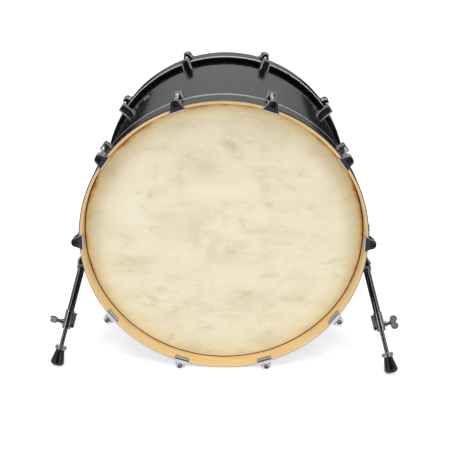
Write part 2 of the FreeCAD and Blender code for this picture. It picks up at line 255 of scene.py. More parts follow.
# Spur rods, lock nuts and feet
spur_rod_radius = 4.75 * MM
spur_rod_length = 150.0 * MM
spur_bore = spur_rod_radius + bore_gap
spike_length = 10.0 * MM
spike_tip = 0.8 * MM
spike_depth = 8.0 * MM
locknut_radius = 12.2 * MM
locknut_root = locknut_radius - 0.7 * MM
locknut_height = 9.0 * MM
locknut_ridges = 36
ridge_half_width = 0.55 * MM
ridge_half_length = locknut_height / 2 - 1.4 * MM
ridge_corner = 0.2 * MM
foot_height = 34.0 * MM
foot_top_radius = 9.5 * MM
foot_bead = 0.6 * MM
foot_bead_length = 5.0 * MM
foot_radius = 14.8 * MM
foot_flare = 0.9 * MM
foot_flare_length = 6.0 * MM
foot_chamfer = 5.5 * MM
foot_neck_round = 4.0 * MM
foot_side_round = 5.0 * MM
foot_base_round = 6.0 * MM

# Patterns of the finishes: scales and turns of a noise, or its scale, detail and strength
grain_along = 14.0
grain_across = 420.0
figure_scale = (5, 16, 5)
cloud_scale = (9, 9, 16)
cloud_turn = math.radians(5)
wisp_scale = (22, 22, 38)
wisp_turn = math.radians(-4)
glow_scale = (5, 5, 8)
pore_scale = 700.0
metal_cloud = (45.0, 4.0)
metal_grain = (1400.0, 2.0, 0.006)

# Studio
floor_reach = 14.0
floor_grey = 0.8
floor_lift = 0.6
sky_light = 0.46
cloth_start = 0.45
cloth_end = 3.0
cloth_side = 5.0
cloth_top = 8.0
dark_shade = 0.09
black_shade = 0.02
screen_start = 0.8
screen_end = 6.0
screen_base = 0.42
screen_top = 3.5
screen_paler_to = 2.0
screen_shades = (0.28, 0.7)
sun_strength = 1.45
sun_spread = math.radians(45)
sun_place = Vector((0, -0.9, 2.9))
box_power = 8.7
box_width = 0.5
box_height = 1.2
box_side = 1.5
box_distance = 1.5
box_level = 1.15

# Camera
camera_azimuth = math.radians(0.54)
camera_elevation = math.radians(23.3)
camera_roll = math.radians(0.22)
camera_distance = 1.7124
camera_sensor = 36.0
camera_lens = 68.7
camera_shift = (0.0031, 0.0402)

# Smoothness of the round pieces and of their corners
drum_steps = 256
small_steps = 48
screw_steps = 32
thin_steps = 24
corner_steps = 4
small_corner_steps = 3
film_bend_steps = 6
lug_corner_steps = 5
bracket_corner_steps = 8
ridge_corner_steps = 2
foot_corner_steps = 6
tiny = 1e-7
longest_arc = 0.48
sharp_angle = math.radians(40.0)


# Places
ALONG_X = Matrix.Rotation(math.pi / 2, 4, "Y")
ALONG_Y = Matrix.Rotation(math.pi / 2, 4, "X")
AT_ROD = Matrix.Translation((rod_circle, 0, 0))
FACES = {"front": front_face, "rear": rear_face}
DRUM_PLACES = {
    "front": Matrix.Translation((0, front_face, axis_height)) @ Matrix.Rotation(-math.pi / 2, 4, "X"),
    "rear": Matrix.Translation((0, rear_face, axis_height)) @ Matrix.Rotation(math.pi / 2, 4, "X"),
}


def station_turn(end, number):
    """Turn about the drum's axis to a tension station, counted upwards from the drum's right side."""
    return Matrix.Rotation((-1 if end == "front" else 1) * station_step * number, 4, "Z")


def vent_place():
    middle = (vent_low + vent_high) / 2
    angle = math.atan2(middle.z - axis_height, middle.x)
    return Matrix.Translation((0, middle.y, axis_height)) @ Matrix.Rotation(-angle, 4, "Y") @ ALONG_X


def leg_place(side):
    """The leg's own frame: its hinge and its direction come from the joints that move it."""
    fold = joints[side + "_spur_fold"]
    outward = Vector(fold["axis"]) * (1 if side == "right" else -1)
    up = -Vector(joints[side + "_spur_extend"]["axis"])
    place = Matrix((outward, up.cross(outward), up)).transposed().to_4x4()
    return Matrix.Translation(fold["pos_m"]) @ place


def leg_length(side, leg):
    """From the pivot to the middle of the foot's base, read from the joint that turns the foot."""
    foot_joint = Vector(joints[side + "_foot_turn"]["pos_m"])
    return (foot_joint - leg.translation).length + foot_height / 2


def axis_distance(place):
    return math.hypot(place.x, place.z - axis_height)


def rod_distance(place):
    """Distance of a place from the nearest tension rod's axis."""
    spoke = Vector((place.x, place.z - axis_height))
    station = round(math.atan2(spoke.y, spoke.x) / station_step) * station_step
    return (spoke - rod_circle * Vector((math.cos(station), math.sin(station)))).length


# Outlines
def rounded(corners, steps=corner_steps):
    """Closed outline of flat corners, each (x, y), or (x, y, radius) where an arc takes its place."""
    points = [Vector(corner[:2]) for corner in corners]
    outline = []
    for k, point in enumerate(points):
        radius = corners[k][2] if len(corners[k]) > 2 else 0.0
        to_last = points[k - 1] - point
        to_next = points[(k + 1) % len(points)] - point
        half = to_last.angle(to_next) / 2
        room = longest_arc * min(to_last.length, to_next.length)
        reach = min(radius / math.tan(half), room)
        if reach < tiny:
            outline.append(point)
            continue
        radius = reach * math.tan(half)
        inward = (to_last.normalized() + to_next.normalized()).normalized()
        centre = point + inward * radius / math.sin(half)
        start = point + to_last.normalized() * reach - centre
        end = point + to_next.normalized() * reach - centre
        span = start.angle_signed(end)
        for step in range(steps + 1):
            turn = Matrix.Rotation(-span * step / steps, 2)
            outline.append(centre + turn @ start)
    return outline


def rounded_rectangle(half_width, half_height, radius, steps=corner_steps):
    signs = ((1, -1), (1, 1), (-1, 1), (-1, -1))
    return rounded([(x * half_width, y * half_height, radius) for x, y in signs], steps)


def band(inner, outer, start, end, edges):
    """Section of a plain ring or rod, with a rounding for each corner from the inner start round."""
    corners = ((inner, start), (outer, start), (outer, end), (inner, end))
    return [(*corner, edge) for corner, edge in zip(corners, edges)]


def circle(radius, steps):
    turns = [2 * math.pi * k / steps for k in range(steps)]
    return [Vector((radius * math.cos(turn), radius * math.sin(turn))) for turn in turns]


# Meshes
def new_object(name, data):
    thing = bpy.data.objects.new(name, data)
    bpy.context.scene.collection.objects.link(thing)
    return thing


def new_mesh(shape):
    """Plain mesh from a working shape, with its doubles merged and its faces turned outwards."""
    bmesh.ops.remove_doubles(shape, verts=shape.verts, dist=tiny)
    bmesh.ops.recalc_face_normals(shape, faces=shape.faces)
    mesh = bpy.data.meshes.new("shape")
    shape.to_mesh(mesh)
    shape.free()
    return mesh


def lathe(section, steps=small_steps, place=Matrix()):
    """Mesh turned about Z from a closed section of (radius, height) points, with poles on the axis."""
    shape = bmesh.new()
    rings = []
    for radius, height in section:
        count = 1 if radius < tiny else steps
        spokes = [Vector((p.x, p.y, height)) for p in circle(radius, count)]
        rings.append([shape.verts.new(spoke) for spoke in spokes])
    for k, ring in enumerate(rings):
        after = rings[(k + 1) % len(rings)]
        for step in range(steps):
            near = [ring[step % len(ring)], ring[(step + 1) % steps % len(ring)]]
            far = [after[(step + 1) % steps % len(after)], after[step % len(after)]]
            corners = list(dict.fromkeys(near + far))
            if len(corners) > 2:
                shape.faces.new(corners)
    mesh = new_mesh(shape)
    mesh.transform(place)
    return mesh


def turned(section, steps=small_steps, place=Matrix(), arc_steps=corner_steps):
    """Mesh turned about Z from a closed section whose corners may be rounded."""
    return lathe(rounded(section, arc_steps), steps, place)


def turned_on_leg(section, arc_steps=corner_steps):
    """Mesh turned about the leg from a section of (radius, distance from the pivot) corners."""
    return turned([(radius, -along, *arc) for radius, along, *arc in section], arc_steps=arc_steps)


def loft(rings, place=Matrix()):
    """Closed mesh through rings of points with the same count, capped at both ends."""
    shape = bmesh.new()
    loops = [[shape.verts.new(point) for point in ring] for ring in rings]
    for ring, after in zip(loops, loops[1:]):
        for k in range(len(ring)):
            last = k - 1
            shape.faces.new((ring[last], ring[k], after[k], after[last]))
    shape.faces.new(loops[0])
    shape.faces.new(loops[-1])
    mesh = new_mesh(shape)
    mesh.transform(place)
    return mesh


def stacked(outline, layers, place=Matrix()):
    """Loft of one flat outline shape: outline(inset) at each (height, inset) layer along Z."""
    rings = [[Vector((p.x, p.y, height)) for p in outline(inset)] for height, inset in layers]
    return loft(rings, place)


def joined(*meshes):
    """One mesh from several, which are used up."""
    shape = bmesh.new()
    for mesh in meshes:
        shape.from_mesh(mesh)
        bpy.data.meshes.remove(mesh)
    mesh = bpy.data.meshes.new("shape")
    shape.to_mesh(mesh)
    shape.free()
    return mesh


def evaluated(mesh, add_modifiers):
    """The mesh that the modifiers make of this one, which is used up."""
    holder = new_object("holder", mesh)
    add_modifiers(holder)
    graph = bpy.context.evaluated_depsgraph_get()
    made = bpy.data.meshes.new_from_object(holder.evaluated_get(graph), depsgraph=graph)
    bpy.data.objects.remove(holder)
    bpy.data.meshes.remove(mesh)
    return made


def cut(mesh, *cutters):
    """The mesh with the cutters taken away from it. All of them are used up."""
    for cutter in cutters:
        tool = new_object("cutter", cutter)

        def take_away(holder):
            difference = holder.modifiers.new("cut", "BOOLEAN")
            difference.object = tool
            difference.solver = "EXACT"

        mesh = evaluated(mesh, take_away)
        bpy.data.objects.remove(tool)
        bpy.data.meshes.remove(cutter)
    return mesh


def rod_cutter(radius, start, end, steps=small_steps, place=Matrix()):
    return lathe([(0, start), (radius, start), (radius, end), (0, end)], steps, place)


def moved(mesh, place):
    copy = mesh.copy()
    copy.transform(place)
    return copy


def settled(mesh):
    """Smooth shading with crisp edges, and flat faces that stay flat beside their rounded edges."""
    mesh.shade_smooth()
    mesh.set_sharp_from_angle(angle=sharp_angle)

    def weigh(holder):
        weighted = holder.modifiers.new("weighted", "WEIGHTED_NORMAL")
        weighted.keep_sharp = True

    return evaluated(mesh, weigh)


# Pieces
def make_piece(name, mesh, body, slot, finish, *nodes):
    """A finished piece that rides on a body, in the place of the named solids.

    A mesh that already has its finish comes with None.
    """
    mesh = settled(mesh)
    mesh.name = name
    if finish is not None:
        mesh.materials.clear()
        mesh.materials.append(finish)
    piece = new_object(name, mesh)
    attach(piece, body)
    if nodes:
        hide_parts(*nodes)
    return piece


def make_head_piece(end, name, mesh, slot, finish, node):
    """A piece of one head set. Its name and its solid's name start with the drum's end."""
    return make_piece(end + "_" + name, mesh, end + "_head_set", slot, finish, end + "_" + node)


def make_spur_piece(side, name, mesh, body, slot, finish, *nodes):
    """A piece of one spur. Its name, its solids and a body that moves all start with the side."""
    carrier = body if body == "drum" else side + "_" + body
    solids = [side + "_spur_" + node for node in nodes]
    return make_piece(side + "_" + name, mesh, carrier, slot, finish, *solids)


def paint_faces(mesh, finish, chosen):
    """A further finish on the faces whose middle is chosen."""
    mesh.materials.append(finish)
    last = len(mesh.materials) - 1
    for polygon in mesh.polygons:
        if chosen(polygon.center):
            polygon.material_index = last


# Parts of the finishes
def paint(red, green, blue):
    """Scene colour of a colour as the eye sees it, each channel from 0 to 255."""
    channels = [value / 255 for value in (red, green, blue)]
    return [c / 12.92 if c <= 0.04045 else ((c + 0.055) / 1.055) ** 2.4 for c in channels] + [1.0]


def bare_finish(name):
    finish = bpy.data.materials.new(name)
    finish.use_nodes = True
    return finish, finish.node_tree, finish.node_tree.nodes["Principled BSDF"]


def fill(tree, node, inputs):
    """Gives a node its inputs by name or number: an output is linked, and a plain value is set."""
    for name, value in inputs.items():
        if isinstance(value, bpy.types.NodeSocket):
            tree.links.new(value, node.inputs[name])
        else:
            node.inputs[name].default_value = value
    return node


def new_node(tree, kind, inputs):
    return fill(tree, tree.nodes.new(kind), inputs)


def on_surface(tree, scale=(1, 1, 1), turn=0.0, lift=0.0):
    """The piece's own coordinates about the drum's axis, stretched and turned for a pattern."""
    place = tree.nodes.new("ShaderNodeTexCoord").outputs["Object"]
    shift = {"Vector": place, "Location": (0, 0, lift - axis_height)}
    centred = new_node(tree, "ShaderNodeMapping", shift).outputs["Vector"]
    stretch = {"Vector": centred, "Rotation": (0, turn, 0), "Scale": scale}
    return new_node(tree, "ShaderNodeMapping", stretch).outputs["Vector"]


def noise(tree, vector, scale, detail=3.0, roughness=0.5, distortion=0.0):
    pattern = {
        "Vector": vector,
        "Scale": scale,
        "Detail": detail,
        "Roughness": roughness,
        "Distortion": distortion,
    }
    return new_node(tree, "ShaderNodeTexNoise", pattern).outputs["Fac"]


def math_step(tree, operation, first, second):
    step = tree.nodes.new("ShaderNodeMath")
    step.operation = operation
    fill(tree, step, {0: first, 1: second})
    return step.outputs["Value"]


def mapped(tree, value, start, end, low, high):
    """A value's range from start to end spread over low to high, and held beyond it."""
    spread = {"Value": value, "From Min": start, "From Max": end, "To Min": low, "To Max": high}
    return new_node(tree, "ShaderNodeMapRange", spread).outputs["Result"]


def colours(tree, value, *stops):
    """Colours along a value, each stop a place from 0 to 1 and a colour as the eye sees it."""
    ramp = new_node(tree, "ShaderNodeValToRGB", {"Fac": value})
    elements = ramp.color_ramp.elements
    while len(elements) < len(stops):
        elements.new(0.5)
    for element, (place, colour) in zip(elements, stops):
        element.position = place
        element.color = paint(*colour)
    return ramp.outputs["Color"]


def multiplied(tree, share, first, second):
    mix = tree.nodes.new("ShaderNodeMix")
    mix.data_type = "RGBA"
    mix.blend_type = "MULTIPLY"
    fill(tree, mix, {"Factor": share, "A": first, "B": second})
    return mix.outputs["Result"]


def bumped(tree, shader, height, strength, depth):
    bump = {"Height": height, "Strength": strength, "Distance": depth}
    fill(tree, shader, {"Normal": new_node(tree, "ShaderNodeBump", bump).outputs["Normal"]})


def from_axis(tree, drop=0.0):
    """Distance from the drum's axis, or from a line that lies lower by the drop."""
    flat = tree.nodes.new("ShaderNodeVectorMath")
    flat.operation = "LENGTH"
    fill(tree, flat, {0: on_surface(tree, scale=(1, 0, 1), lift=drop)})
    return flat.outputs["Value"]


# Finishes
WHITE = (255, 255, 255)


def clouded(name, dark, light, smooth, rough, cloud, fine=None, metallic=0.0, shine=0.5):
    """Finish that is faintly uneven in colour and shine, with a fine bump.

    cloud is the unevenness's scale and detail, fine the bump's scale, detail and strength.
    """
    finish, tree, shader = bare_finish(name)
    surface = on_surface(tree)
    haze = noise(tree, surface, *cloud)
    looks = {
        "Base Color": colours(tree, haze, (0.3, dark), (0.7, light)),
        "Roughness": mapped(tree, haze, 0.3, 0.7, smooth, rough),
        "Metallic": metallic,
        "Specular IOR Level": shine,
    }
    fill(tree, shader, looks)
    if fine is not None:
        scale, detail, strength = fine
        bumped(tree, shader, noise(tree, surface, scale, detail), strength, 0.2 * MM)
    return finish


def metal(name, dark, light, smooth, rough):
    return clouded(name, dark, light, smooth, rough, metal_cloud, metal_grain, metallic=1.0)


def bent_maple(name, dark, middle, light, shine, coat):
    """Bent plies of maple: the grain runs round the hoop and the plies show on its edge."""
    finish, tree, shader = bare_finish(name)
    across = new_node(tree, "ShaderNodeSeparateXYZ", {"Vector": on_surface(tree)}).outputs
    layer = math_step(tree, "ADD", across["Y"], from_axis(tree))
    stretched = {
        "X": math_step(tree, "MULTIPLY", across["X"], grain_along),
        "Y": math_step(tree, "MULTIPLY", layer, grain_across),
        "Z": math_step(tree, "MULTIPLY", across["Z"], grain_along),
    }
    grain = new_node(tree, "ShaderNodeCombineXYZ", stretched).outputs["Vector"]
    fibre = noise(tree, grain, 1.0, detail=5.0, roughness=0.6, distortion=0.3)
    figure = noise(tree, on_surface(tree, figure_scale), 1.0)
    wood = colours(tree, fibre, (0.28, dark), (0.5, middle), (0.75, light))
    tone = colours(tree, figure, (0.35, (246, 240, 228)), (0.65, WHITE))
    looks = {
        "Base Color": multiplied(tree, figure, wood, tone),
        "Roughness": mapped(tree, fibre, 0.3, 0.7, 0.34, 0.46),
        "Specular IOR Level": shine,
        "Coat Weight": coat,
        "Coat Roughness": 0.16,
    }
    fill(tree, shader, looks)
    bumped(tree, shader, fibre, 0.08, 0.5 * MM)
    return finish


def calf_film():
    """Cream film with soft clouds and thin dark wisps, and a tan rim that is partly a tanned skin's look
    and partly painted shade: darker at the top, where the hoop shades the film, and brown on the collar
    down in the seam.
    """
    finish, tree, shader = bare_finish("calf_film")
    drift = on_surface(tree, cloud_scale, cloud_turn)
    clouds = noise(tree, drift, 1.0, detail=7.0, roughness=0.62, distortion=0.4)
    strands = on_surface(tree, wisp_scale, wisp_turn)
    wisps = noise(tree, strands, 1.0, detail=7.0, roughness=0.62, distortion=0.5)
    glow = noise(tree, on_surface(tree, glow_scale), 1.0)
    pores = noise(tree, on_surface(tree), pore_scale)
    cream = colours(
        tree, clouds, (0.32, (226, 216, 187)), (0.48, (239, 230, 203)), (0.68, (243, 236, 213))
    )
    streak = colours(tree, wisps, (0.26, (210, 201, 175)), (0.42, (249, 246, 237)), (0.6, WHITE))
    skin = multiplied(tree, glow, cream, streak)
    # The rim's colours are partly the skin's tan and partly painted shade: they darken towards the hoop,
    # most at the top.
    uneven = math_step(tree, "MULTIPLY", math_step(tree, "SUBTRACT", clouds, 0.5), rim_wander)
    outwards = math_step(tree, "ADD", from_axis(tree, rim_shade_drop), uneven)
    rim = colours(
        tree,
        mapped(tree, outwards, rim_start, rim_end, 0.0, 1.0),
        (0.0, WHITE),
        (0.6, (255, 253, 245)),
        (0.84, (251, 236, 204)),
        (0.94, (226, 189, 144)),
        (1.0, (168, 120, 76)),
    )
    # Painted shade with a tan: the collar turns brown where it runs down into the dark seam under the
    # hoop.
    bend = mapped(tree, from_axis(tree), shell_radius, shell_radius + film_bend, 0.0, 1.0)
    collar = colours(tree, bend, (0.4, WHITE), (0.9, (186, 112, 36)))
    grain = mapped(tree, pores, 0.0, 1.0, 0.9, 1.0)
    looks = {
        "Base Color": multiplied(tree, grain, multiplied(tree, grain, skin, rim), collar),
        "Roughness": mapped(tree, wisps, 0.3, 0.7, 0.66, 0.56),
        "Specular IOR Level": 0.3,
    }
    fill(tree, shader, looks)
    bumped(tree, shader, pores, 0.12, 0.3 * MM)
    return finish


FILM = calf_film()
MAPLE = bent_maple(
    "clear_maple", (212, 175, 117), (230, 197, 142), (239, 210, 159), shine=0.5, coat=0.5
)
# A darkened copy of the maple: painted shade for the hoop's wall in the seam behind the film.
SHADED_MAPLE = bent_maple(
    "painted_shade_maple", (92, 44, 8), (108, 54, 12), (120, 64, 18), shine=0.0, coat=0.0
)
LACQUER = clouded(
    "black_lacquer", (9, 9, 10), (16, 15, 16), 0.1, 0.13, (9.0, 4.0), (900.0, 2.0, 0.01)
)
ENAMEL = clouded("black_enamel", (12, 12, 13), (22, 22, 23), 0.12, 0.18, (40.0, 4.0), shine=1.0)
RUBBER = clouded(
    "black_rubber", (6, 6, 7), (12, 11, 11), 0.15, 0.22, (60.0, 5.0), (1800.0, 3.0, 0.03), shine=0.3
)
CLAW_CHROME = metal("smoked_chrome", (168, 168, 173), (184, 184, 189), 0.08, 0.14)
BLACK_CHROME = metal("black_chrome", (70, 70, 74), (92, 92, 96), 0.1, 0.17)
DARK_CHROME = metal("dark_chrome", (104, 104, 108), (126, 126, 130), 0.12, 0.2)
BRIGHT_CHROME = metal("bright_chrome", (188, 189, 194), (208, 209, 213), 0.07, 0.13)
STEEL = metal("satin_steel", (142, 142, 146), (164, 164, 168), 0.24, 0.34)
ALUMINIUM = metal("satin_aluminium", (196, 196, 198), (214, 214, 216), 0.3, 0.4)
SATIN_ZINC = metal("satin_zinc", (132, 132, 136), (152, 152, 156), 0.3, 0.4)
ROD_STEEL = metal("polished_steel", (86, 87, 90), (104, 105, 108), 0.14, 0.2)


# Geometry trees for what repeats round an axis or winds along it
def new_tree(name, **inputs):
    """An empty tree with named inputs, and the outputs of its input node."""
    tree = bpy.data.node_groups.new(name, "GeometryNodeTree")
    for label, kind in inputs.items():
        tree.interface.new_socket(label, in_out="INPUT", socket_type="NodeSocket" + kind)
    tree.interface.new_socket("Geometry", in_out="OUTPUT", socket_type="NodeSocketGeometry")
    return tree, tree.nodes.new("NodeGroupInput").outputs


def dressed(tree, given, geometry):
    """Ends a tree: the instances are made real and take the finish."""
    real = new_node(tree, "GeometryNodeRealizeInstances", {"Geometry": geometry}).outputs["Geometry"]
    coat = {"Geometry": real, "Material": given["Finish"]}
    coated = new_node(tree, "GeometryNodeSetMaterial", coat).outputs["Geometry"]
    new_node(tree, "NodeGroupOutput", {"Geometry": coated})
    return tree


def ring_tree():
    """Copies of one piece, evenly turned about Z."""
    tree, given = new_tree(
        "ring_of_pieces", Geometry="Geometry", Piece="Object", Count="Int", Finish="Material"
    )
    index = tree.nodes.new("GeometryNodeInputIndex").outputs["Index"]
    whole = math_step(tree, "MULTIPLY", index, 2 * math.pi)
    turn = {"Axis": (0, 0, 1), "Angle": math_step(tree, "DIVIDE", whole, given["Count"])}
    source = new_node(tree, "GeometryNodeObjectInfo", {"Object": given["Piece"]})
    copies = {
        "Points": new_node(tree, "GeometryNodePoints", {"Count": given["Count"]}).outputs["Points"],
        "Instance": source.outputs["Geometry"],
        "Rotation": new_node(tree, "FunctionNodeAxisAngleToRotation", turn).outputs["Rotation"],
    }
    instances = new_node(tree, "GeometryNodeInstanceOnPoints", copies).outputs["Instances"]
    return dressed(tree, given, instances)


def thread_tree():
    """A screw thread wound along Z on the core that comes in."""
    tree, given = new_tree(
        "screw_thread",
        Core="Geometry",
        Start="Float",
        Length="Float",
        Pitch="Float",
        Radius="Float",
        Ridge="Float",
        Finish="Material",
    )
    spiral = {
        "Resolution": thread_turn_steps,
        "Rotations": math_step(tree, "DIVIDE", given["Length"], given["Pitch"]),
        "Start Radius": given["Radius"],
        "End Radius": given["Radius"],
        "Height": given["Length"],
    }
    ridge = {"Resolution": thread_ridge_sides, "Radius": given["Ridge"]}
    sweep = {
        "Curve": new_node(tree, "GeometryNodeCurveSpiral", spiral).outputs["Curve"],
        "Profile Curve": new_node(tree, "GeometryNodeCurvePrimitiveCircle", ridge).outputs["Curve"],
        "Fill Caps": True,
    }
    lift = {
        "Geometry": new_node(tree, "GeometryNodeCurveToMesh", sweep).outputs["Mesh"],
        "Translation": new_node(tree, "ShaderNodeCombineXYZ", {"Z": given["Start"]}).outputs["Vector"],
    }
    thread = new_node(tree, "GeometryNodeTransform", lift).outputs["Geometry"]
    whole = new_node(tree, "GeometryNodeJoinGeometry", {"Geometry": given["Core"]})
    fill(tree, whole, {"Geometry": thread})
    return dressed(tree, given, whole.outputs["Geometry"])


RING = ring_tree()
THREAD = thread_tree()


def grown(mesh, tree, **values):
    """The mesh that a geometry tree makes of this one, with the tree's inputs given by name."""
    items = tree.interface.items_tree
    sockets = {item.name: item.identifier for item in items if item.in_out == "INPUT"}

    def add_tree(holder):
        growth = holder.modifiers.new("growth", "NODES")
        growth.node_group = tree
        for name, value in values.items():
            growth[sockets[name]] = value

    made = evaluated(mesh, add_tree)
    made.materials.clear()
    made.materials.append(values["Finish"])
    return made


def ring_of(mesh, count, finish):
    """Copies of a mesh, made about Z, as one mesh. The mesh is used up."""
    master = new_object("master", mesh)
    ring = grown(bpy.data.meshes.new("ring"), RING, Piece=master, Count=count, Finish=finish)
    bpy.data.objects.remove(master)
    bpy.data.meshes.remove(mesh)
    return ring


def station_ring(mesh, end, finish):
    """Copies of a mesh at all the tension stations of one end. The mesh stays."""
    ring = ring_of(mesh.copy(), stations, finish)
    ring.transform(DRUM_PLACES[end])
    return ring


# Shell, with rounded bearing edges and the vent's hole
def make_shell():
    inner = shell_radius - shell_wall
    crest = shell_radius - edge_bevel
    slope = crest - inner
    far = shell_rim + shell_depth
    vent_depth = (vent_low.y + vent_high.y) / 2 - front_face
    section = [
        (inner, shell_rim + slope),
        (crest, shell_rim, edge_round),
        (shell_radius, shell_rim + edge_bevel, edge_round),
        (shell_radius, vent_depth - vent_flange_radius),
        (shell_radius, vent_depth + vent_flange_radius),
        (shell_radius, far - edge_bevel, edge_round),
        (crest, far, edge_round),
        (inner, far - slope),
        (inner, vent_depth + vent_flange_radius),
        (inner, vent_depth - vent_flange_radius),
    ]
    wall = turned(section, drum_steps, DRUM_PLACES["front"])
    inside = shell_radius - 3 * shell_wall
    hole = rod_cutter(vent_tube, inside, shell_radius + shell_wall, place=vent_place())
    make_piece("shell_lacquered", cut(wall, hole), "drum", "black_lacquer", LACQUER, "shell")


def make_vent():
    inside = shell_radius - shell_wall - 2 * vent_flange
    outside = shell_radius + vent_flange
    section = [
        (vent_bore, inside, edge_round),
        (vent_flange_radius, inside, edge_round / 2),
        (vent_flange_radius, inside + vent_flange),
        (vent_tube, inside + vent_flange),
        (vent_tube, shell_radius),
        (vent_flange_radius, shell_radius),
        (vent_flange_radius, outside, edge_round),
        (vent_bore, outside, edge_round),
    ]
    mesh = turned(section, place=vent_place())
    make_piece("vent", mesh, "drum", "bright_chrome", STEEL, "vent_grommet")


# Hoops: clear maple to the front of the film, a darkened maple behind it as painted shade for the seam,
# and black lacquer on the outside
def make_hoop(end):
    section = [
        (hoop_inner, 0, hoop_round),
        (hoop_radius - hoop_edge, 0, hoop_edge / 2),
        (hoop_radius, hoop_edge, hoop_edge / 2),
        (hoop_radius, hoop_depth, 2 * hoop_round),
        (hoop_inner, hoop_depth, hoop_round),
        (hoop_inner, film_level),
    ]
    mesh = turned(section, drum_steps, DRUM_PLACES[end])
    hoop = make_head_piece(end, "wood_hoop", mesh, "maple_hoop", MAPLE, "hoop").data

    def depth(middle):
        return abs(middle.y - FACES[end])

    def lacquered(middle):
        on_outside = axis_distance(middle) > hoop_radius - hoop_paint_margin
        return on_outside or depth(middle) > hoop_depth - hoop_round

    # Painted shade: the wall behind the film level takes the darkened maple, as the seam's shadow.
    paint_faces(hoop, SHADED_MAPLE, lambda middle: depth(middle) > film_level)
    paint_faces(hoop, LACQUER, lacquered)


# Heads: a film, flat over the shell's edge, that turns down a collar to its rim under the hoop
def make_film(end):
    bend = shell_radius + film_bend
    bend_start = bend - 2 * film_bend_round
    inner_level = film_level + film_thickness
    section = [
        (0, film_level),
        (bend_start, film_level),
        (bend, film_level, film_bend_round),
        (film_radius, film_rim),
        (film_radius - film_thickness, film_rim),
        (bend - film_thickness, inner_level, film_bend_round - film_thickness),
        (bend_start, inner_level),
        (0, inner_level),
    ]
    mesh = turned(section, drum_steps, DRUM_PLACES[end], film_bend_steps)
    make_head_piece(end, "calf_film", mesh, "cream_film", FILM, "head_film")


# Flesh hoop: the ring that holds the film's rim in a step, bright on the outside and black within, the
# black partly a dark filling and partly painted shade
def make_flesh_hoop(end):
    step_radius = film_radius + ring_gap
    step_depth = film_rim + ring_gap
    outer = hoop_radius - ring_inset
    inner = shell_radius + ring_inner
    section = [
        (step_radius, ring_front, edge_round),
        (outer, ring_front, edge_round),
        (outer, ring_back, 2 * edge_round),
        (inner, ring_back, edge_round),
        (inner, step_depth),
        (step_radius, step_depth),
    ]
    mesh = turned(section, drum_steps, DRUM_PLACES[end])
    ring = make_head_piece(end, "rim_ring", mesh, "bright_chrome", ALUMINIUM, "flesh_hoop").data
    # Black on the inner and back faces: partly the ring's dark filling, partly painted shade where the
    # ring faces into the seam.
    paint_faces(ring, LACQUER, lambda middle: axis_distance(middle) < outer - 2 * edge_round)


# Claws: a bent strip with concave flanks, a boss with a sunk seat, and a saddle on the hoop's outside
def claw_path():
    """The strip's stations from its lip to its round end: middle, direction, half width and wall."""
    across = rod_circle - claw_lip_middle - claw_bend
    middle = claw_front + claw_plate / 2
    turned_at = middle + claw_bend
    path = []
    for back, narrower in claw_lip_corner:
        place = Vector((claw_lip_middle, claw_lip_end - back * MM))
        path.append((place, Vector((0, -1)), claw_half_width - narrower * MM, claw_lip_wall))
    for step in range(claw_bend_steps + 1):
        turn = math.pi / 2 * step / claw_bend_steps
        out = claw_bend * (1 - math.cos(turn))
        place = Vector((claw_lip_middle + out, turned_at - claw_bend * math.sin(turn)))
        wall = claw_lip_wall + (claw_plate - claw_lip_wall) * step / claw_bend_steps
        path.append((place, Vector((math.sin(turn), -math.cos(turn))), claw_half_width, wall))
    for step in range(1, claw_plate_steps + 1):
        left = 1 - step / claw_plate_steps
        place = Vector((rod_circle - across * left, middle))
        half_width = claw_waist + (claw_half_width - claw_waist) * left**claw_flare
        path.append((place, Vector((1, 0)), half_width, claw_plate))
    for step in range(1, claw_end_steps + 1):
        turn = claw_end_turn * step / claw_end_steps
        place = Vector((rod_circle + claw_end * math.sin(turn), middle))
        path.append((place, Vector((1, 0)), claw_waist * math.cos(turn), claw_plate))
    return path


def claw_strip():
    rings = []
    for place, along, half_width, wall in claw_path():
        side = Vector((along.y, -along.x))
        outline = rounded_rectangle(half_width, wall / 2, claw_edge, small_corner_steps)
        rings.append([Vector((place.x + side.x * p.y, p.x, place.y + side.y * p.y)) for p in outline])
    hole = rod_cutter(claw_recess + bore_gap, 3 * claw_front, claw_length, place=AT_ROD)
    return cut(loft(rings), hole)


def claw_barrel():
    start = claw_front + claw_plate / 2
    section = [
        (claw_recess, start, claw_edge / 2),
        (claw_boss, start, claw_edge),
        (claw_end_boss, claw_length, claw_edge),
        (claw_passage, claw_length, claw_edge / 2),
        (claw_passage, claw_recess_end),
        (claw_recess, claw_recess_end),
    ]
    return turned(section, place=AT_ROD)


def claw_saddle():
    def ring(depth, inset):
        share = depth / claw_length
        low = saddle_half_width + (saddle_end_half_width - saddle_half_width) * share - inset
        high = saddle_top + (saddle_end_top - saddle_top) * share - inset
        base = saddle_base + inset
        corners = [
            (base, -low, claw_edge),
            (rod_circle, -high),
            (rod_circle, high),
            (base, low, claw_edge),
        ]
        return [Vector((p.x, p.y, depth)) for p in rounded(corners, small_corner_steps)]

    start = claw_front + claw_plate / 2
    rings = [ring(start, 0), ring(claw_length - claw_edge, 0), ring(claw_length, claw_edge)]
    way_radius = (claw_recess + claw_end_boss) / 2
    way = rod_cutter(way_radius, 3 * claw_front, 2 * claw_length, place=AT_ROD)
    return cut(loft(rings), way)


def make_claws():
    claw = joined(claw_strip(), claw_barrel(), claw_saddle())
    seat = claw_recess + 2 * bore_gap
    for end in DRUM_PLACES:
        ring = station_ring(claw, end, CLAW_CHROME)
        claws = make_head_piece(end, "hooked_claws", ring, "black_chrome", None, "claws").data
        # The sunk seat of each claw takes the darker chrome as painted shade in the recess.
        paint_faces(claws, BLACK_CHROME, lambda middle: rod_distance(middle) < seat)
    bpy.data.meshes.remove(claw)


